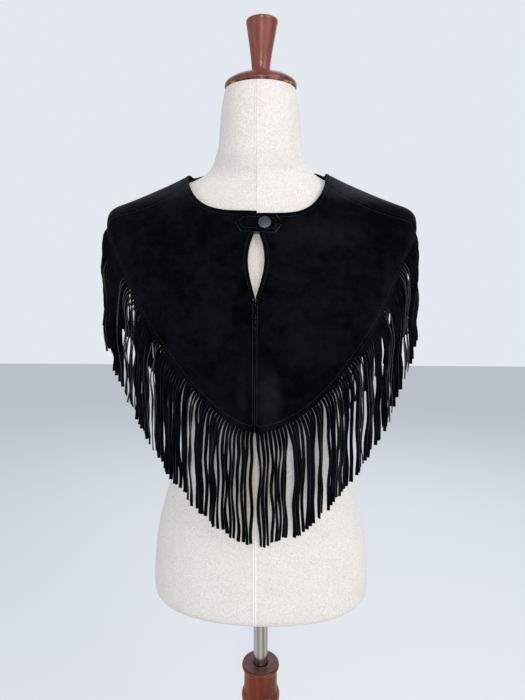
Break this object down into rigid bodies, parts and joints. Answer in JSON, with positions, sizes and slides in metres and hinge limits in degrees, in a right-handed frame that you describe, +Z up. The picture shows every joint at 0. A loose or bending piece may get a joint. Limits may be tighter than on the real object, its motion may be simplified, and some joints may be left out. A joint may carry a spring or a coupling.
{
  "type": "fringed capelet on a dress form",
  "caption": "Suede capelet with a keyhole neck, snap tab and long cut fringe on a pointed hem, worn on a limbless linen dress form that slides in a turned wooden stand.",
  "frame": {"origin": "on the floor, at the centre of the stand's round foot, under the pole", "axes": "+Z up along the pole, -Y towards the capelet's front, +X to the wearer's left"},
  "size_m": [0.436, 0.35, 1.4146],
  "materials": {
    "suede": "matte",
    "linen": "matte",
    "mahogany": "gloss",
    "steel": "satin",
    "gunmetal": "satin"
  },
  "bodies": {
    "stand": {"stand_base": "mahogany", "stand_column": "mahogany"},
    "form": {"pole": "steel", "dress_form": "linen", "neck_cap": "mahogany", "back_panel": "suede", "front_panel_right": "suede", "front_panel_left": "suede", "fringe_back_right": "suede", "fringe_back_left": "suede", "fringe_front_right": "suede", "fringe_front_left": "suede", "closure_tab": "suede", "snap_cap": "gunmetal"}
  },
  "joints": [
    {"name": "height_slide", "type": "slide", "parent": "stand", "child": "form", "axis": [0, 0, 1], "range_m": [-0.11, 0.2]}
  ]
}
